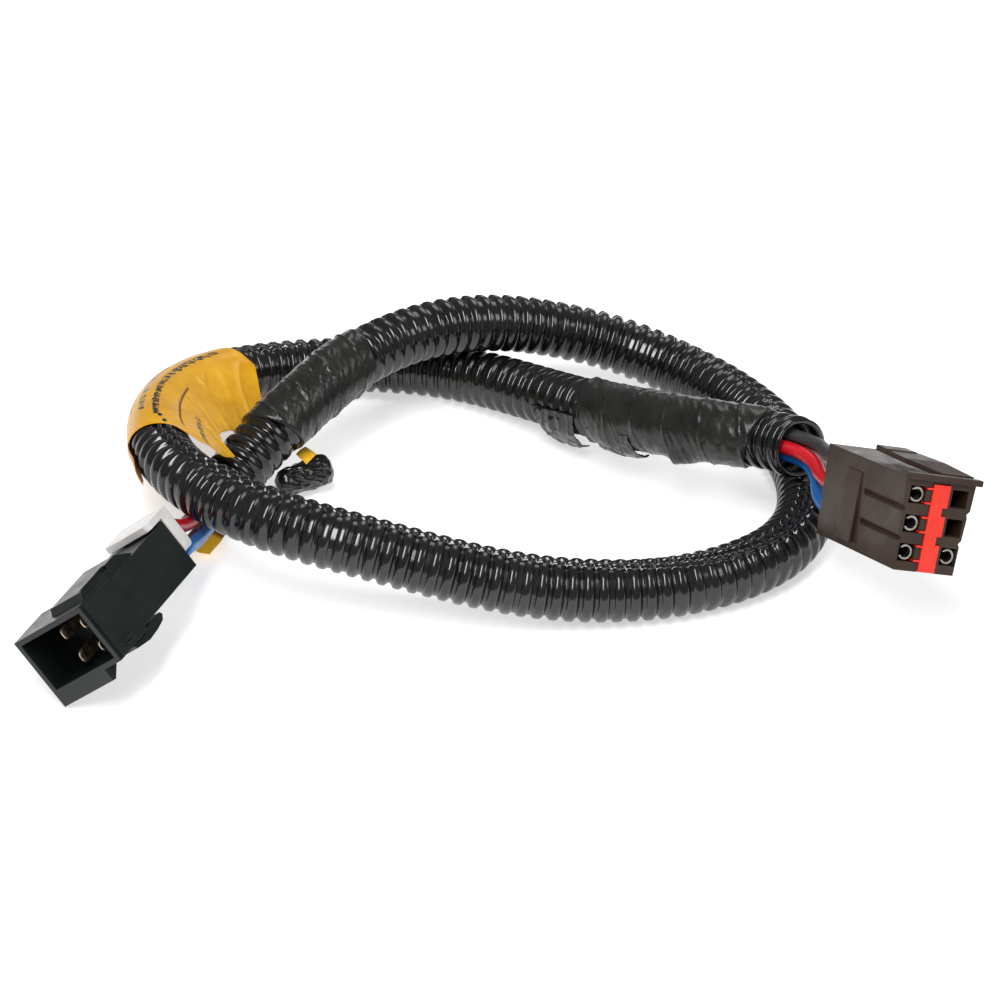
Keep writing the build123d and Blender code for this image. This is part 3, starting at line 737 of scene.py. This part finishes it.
rows_, turn_cols, flag_cols = 120, 64, 60
u_ = np.linspace(0, 1, rows_)
strand_a = loom.p[loom.s < s_pt[8]]
theta = np.radians(np.linspace(-158, 27, turn_cols))
leave = theta[-1]
flag_max = np.interp(u_, [0, 0.12, 0.3, 0.62, 0.82, 0.94, 1.0], [8.5, 12.5, 18.0, 24.0, 17.0, 8.0, 3.0])
lw, lx = waves(71, 8, 0.12, 0.4), waves(72, 8, 0.25, 0.7)
grid, uvs = [], []
for i, u in enumerate(u_):
    row, uvr = [], []
    for j in range(turn_cols + flag_cols):
        if j < turn_cols:
            th, run = theta[j], 0.0
        else:
            th, run = leave, flag_max[i] * (j - turn_cols + 1) / flag_cols
        row.append((th, run))
    th = np.array([q[0] for q in row])
    run = np.array([q[1] for q in row])
    v_mm = 7.1 * th + run
    # the lower end is cut at a slant across the sheet and the ends bow a little
    near = np.clip(7.1 * th + 11.0, 0, 15)
    s_here = s_label0 + label_len * u + (1 - u) * (0.6 - 0.46 * near) + u ** 3 * (0.30 * near - 2.4)
    P, T, _, _ = loom.at(s_here)
    up = np.array([0, 0, 1.0]) - T * T[:, 2:3]
    up /= np.linalg.norm(up, axis=1)[:, None]
    inward = np.cross(T, up)
    if inward[0, 0] < 0:
        inward = -inward
    wave = 0.05 + 0.16 * np.abs(lw(s_here * 1.2, v_mm * 0.8)) * smooth(v_mm, -8, 2)
    crumple = 0.30 * ridge(lx(s_here * 0.9 + v_mm * 0.5, v_mm * 0.35)) * smooth(run, 0.3, 3)
    fold = -0.42 * np.exp(-(((v_mm - 5.6) / 0.42) ** 2)) * smooth(u, 0.06, 0.12) * (1 - smooth(u, 0.50, 0.58))
    r = 6.98 + wave
    q = P + r[:, None] * (up * np.cos(th)[:, None] + inward * np.sin(th)[:, None])
    tangent = -up * math.sin(leave) + inward * math.cos(leave)
    normal = up * math.cos(leave) + inward * math.sin(leave)
    q = q + (tangent - T * (1.15 * (1 - u) ** 1.3 - 0.35 * u ** 3)) * run[:, None] + normal * ((crumple + fold) - 0.006 * run ** 2 * (1 - 0.5 * u))[:, None]
    # it stops against the front strand
    gap = np.linalg.norm(q[:, None] - strand_a[None], axis=2).min(axis=1)
    hit = np.nonzero((gap < 8.3) & (run > 0))[0]
    if len(hit):
        stop = max(hit[0] - 1, turn_cols)
        k = np.linspace(0, stop, turn_cols + flag_cols)
        q = np.column_stack([np.interp(k, np.arange(len(q)), q[:, c]) for c in range(3)])
        v_mm = np.interp(k, np.arange(len(v_mm)), v_mm)
    grid.append(q)
    uvs.append(np.column_stack([np.full(len(q), label_len * u), v_mm]))
label = sheet_piece("label_sheet", grid, 0.16, label_mat, uvs, ("wrap_label", "label_flag"))

# the label's other end, folded back on the outer side of the bend
tail_mat = vinyl("label_underside", (0.50, 0.22, 0.075), (0.62, 0.30, 0.12), rough=0.4)
grid, uvs = [], []
for u in np.linspace(0, 1, 40):
    th = np.radians(np.linspace(-84, -134, 24))
    s_here = np.full(24, s_label0 - 11.5 + 15.0 * u)
    P, T, _, _ = loom.at(s_here)
    up = np.array([0, 0, 1.0]) - T * T[:, 2:3]
    up /= np.linalg.norm(up, axis=1)[:, None]
    inward = np.cross(T, up)
    if inward[0, 0] < 0:
        inward = -inward
    edge = smooth(u, 0.0, 0.35)
    th = np.radians(-112) + (th - np.radians(-112)) * (0.25 + 0.75 * edge)
    r = 7.05 + 0.75 * (1 - u) + 0.15 * np.sin(9 * u + 3 * th)
    grid.append(P + r[:, None] * (up * np.cos(th)[:, None] + inward * np.sin(th)[:, None]))
    uvs.append(np.column_stack([np.full(24, 15 * u), 7 * th]))
label_tail = sheet_piece("label_end", grid, 0.16, tail_mat, uvs)


def patch(name, corners, material, replace, bulge=(0, 0, 0), n=26, thick=0.3, rough_=0.0, seed=1, round_=0.0):
    """A curved patch between four corners, in mm from the harness's middle."""
    a, b, c, d = (np.array(q, float) + SHIFT for q in corners)
    k = np.linspace(0, 1, n)
    U, V = np.meshgrid(k, k, indexing="ij")
    if round_:
        # pull the corners of the grid in, so that the outline is rounded
        x_, y_ = 2 * U - 1, 2 * V - 1
        U = (x_ * np.sqrt(1 - round_ * y_ ** 2 / 2) + 1) / 2
        V = (y_ * np.sqrt(1 - round_ * x_ ** 2 / 2) + 1) / 2
    P = (a * ((1 - U) * (1 - V))[..., None] + b * (U * (1 - V))[..., None] + c * (U * V)[..., None] + d * ((1 - U) * V)[..., None])
    P = P + np.array(bulge, float) * (16 * U * (1 - U) * V * (1 - V))[..., None] ** 0.8
    nrm = unit(np.cross(b - a, d - a))
    f1, f2 = waves(seed, 8, 1.5, 4.0), waves(seed + 1, 8, 2.5, 6.0)
    P = P + nrm * (rough_ * (0.6 * f1(U * 3, V * 3) + ridge(f2(U * 2, V * 2)) - 0.3))[..., None]
    size = (np.linalg.norm(b - a), np.linalg.norm(d - a))
    return sheet_piece(name, P, thick, material, np.stack([U * size[0], V * size[1]], -1), replace)


# the marker's far edge is painted shade, a darker copy of its yellow
marker_mat = vinyl("marker_yellow", (0.72, 0.36, 0.008), (0.90, 0.54, 0.03), shade_edge=(3.4, 4.6, (0.62, 0.24, 0.01)), rough=0.3)
patch("marker_square", ((-47.1, 15.2, 9.0), (-44.5, 10.8, 8.9), (-42.3, 15.0, 9.0), (-45.1, 18.0, 9.3)), marker_mat,
      ("marker_flag",), bulge=(0, 0, 0.5), rough_=0.08, seed=81, round_=0.12)
# the tag's upper band, next to the loom, is a painted shadow of the loom
tag_mat = vinyl("tag_yellow", (0.80, 0.42, 0.010), (0.92, 0.52, 0.02), shade_edge=(5.0, 6.2, (0.24, 0.075, 0.008)), rough=0.34)
patch("tag_tongue", ((-69.2, -14.4, 1.6), (-64.9, -16.4, 1.6), (-61.3, -9.6, 3.4), (-66.6, -6.6, 3.2)), tag_mat,
      ("plug_tag",), bulge=(0, 0, 0.9), rough_=0.10, seed=83, round_=0.35)

# the taped spare end: a crumpled bundle
rows_, cols_ = 84, 110
k = np.linspace(0, 1, rows_)
start_c, end_c = np.array([-51.2, 8.2, 4.5]) + SHIFT, np.array([-39.3, 16.6, 4.9]) + SHIFT
d_ = unit(end_c - start_c)
side = unit(np.cross([0, 0, 1], d_))
rise = np.cross(d_, side)
f1, f2, f3, f4 = (waves(90 + i, 9, lo, hi) for i, (lo, hi) in enumerate(((0.5, 1.3), (0.7, 1.8), (1.0, 2.6), (0.4, 1.0))))
a = np.arange(cols_) * 2 * math.pi / cols_
verts = []
for kk in k:
    c = start_c + (end_c - start_c) * kk
    prof = (1 - abs(2 * kk - 1) ** 5.0) ** 0.5
    base_r = 3.35 + 0.65 * smooth(kk, 0.45, 0.9)
    X, Y = kk * 10 + 0.0 * a, 3 * np.cos(a)
    Z = 3 * np.sin(a)
    bumps = 0.26 * f1(X + Z, Y) + 0.34 * ridge(f2(X * 0.9, Y + 0.6 * Z)) + 0.26 * ridge(f3(X * 0.6 + Y, Z)) - 0.2 + 0.1 * f4(X * 3, Z * 2)
    r = np.minimum((base_r + bumps) * max(prof, 0.02), 4.35)
    verts.append(c + (side * np.cos(a)[:, None] + rise * np.sin(a)[:, None]) * r[:, None])
verts = np.array(verts).reshape(-1, 3)
faces = grid_faces(rows_, cols_).tolist()
faces.append(list(range(cols_))[::-1])
faces.append(list(range((rows_ - 1) * cols_, rows_ * cols_)))
stub = make("taped_end_bundle", verts, faces, stub_mat)
recalc(stub)
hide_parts("taped_end")


def tape_flap(name, node_name, s_mid, long, deg0, deg1, out, curl, seed, rough_, tilt=0.0, n=(70, 50), point=0.0):
    """A loose end of tape that lifts off the loom between two angles from the front."""
    a0, a1 = facing_angle(s_mid, deg0), facing_angle(s_mid, deg1)
    a1 = a0 + (a1 - a0 + math.pi) % (2 * math.pi) - math.pi
    k, v = np.meshgrid(np.linspace(0, 1, n[0]), np.linspace(0, 1, n[1]), indexing="ij")
    half = long / 2 * (1 - point * v)
    S = s_mid + (2 * k - 1) * half + tilt * v
    A = a0 + (a1 - a0) * v
    f, g = waves(seed, 9, 0.5, 1.5), waves(seed + 1, 9, 0.8, 2.2)
    lift = out * smooth(v, 0.1, 1.0) * (1 + curl * np.sin(math.pi * k))
    r = 7.25 + lift + rough_ * (0.6 * f(S * 0.8, v * 6) + 0.9 * ridge(g(S * 0.8 + v * 3, v * 4)))
    P, T, X, Y = (q.reshape(*S.shape, 3) for q in loom.at(S.ravel()))
    P = P + r[..., None] * (X * np.cos(A)[..., None] + Y * np.sin(A)[..., None])
    P[..., 2] = np.maximum(P[..., 2], 0.3)
    return sheet_piece(name, P, 0.3, stub_mat, None, (node_name,))


tail1 = tape_flap("tape_tail_bunched", "tape_tail_crumpled", s_pt[37] + 9.0, 15.0, 25, 112, 1.7, 0.25, 101, 0.42, tilt=1.5, point=0.45)
tail2 = tape_flap("tape_tail_looped", "tape_tail_folded", s_pt[38] + 6.5, 13.0, 40, 118, 1.3, 0.6, 111, 0.30, tilt=1.0, point=0.25)

# ------------------------------------------------------------- floor, light
floor_mesh = bpy.data.meshes.new("floor")
R = 6.0
floor_mesh.from_pydata([(-R, -R, -0.0003), (R, -R, -0.0003), (R, R, -0.0003), (-R, R, -0.0003)], [], [[0, 1, 2, 3]])
floor = bpy.data.objects.new("floor", floor_mesh)
scene.collection.objects.link(floor)
fm, fnt, fb = shader("floor")
fb.inputs["Base Color"].default_value = (0.82, 0.82, 0.82, 1)
fb.inputs["Roughness"].default_value = 0.85
fb.inputs["Specular IOR Level"].default_value = 0.1
fb.inputs["Emission Color"].default_value = (1, 1, 1, 1)
fb.inputs["Emission Strength"].default_value = 0.55
floor_mesh.materials.append(fm)

world = bpy.data.worlds.new("world")
scene.world = world
world.use_nodes = True
bg = world.node_tree.nodes["Background"]
bg.inputs["Color"].default_value = (1, 1, 1, 1)
bg.inputs["Strength"].default_value = 0.27


def area(name, loc, target, size, power, size_y=None):
    l = bpy.data.lights.new(name, "AREA")
    l.energy = power
    l.size = size
    if size_y:
        l.shape = "RECTANGLE"
        l.size_y = size_y
    o = bpy.data.objects.new(name, l)
    scene.collection.objects.link(o)
    o.location = loc
    o.rotation_euler = (Vector(target) - Vector(loc)).to_track_quat("-Z", "Y").to_euler()
    return o


area("key", (-0.16, -0.60, 1.14), (0, 0, 0), 0.30, 14.5, 1.0)
area("fill", (0.9, -0.35, 0.9), (0, 0, 0), 0.5, 3.0)
area("back", (0.2, 0.9, 0.8), (0, 0, 0), 0.5, 1.8)
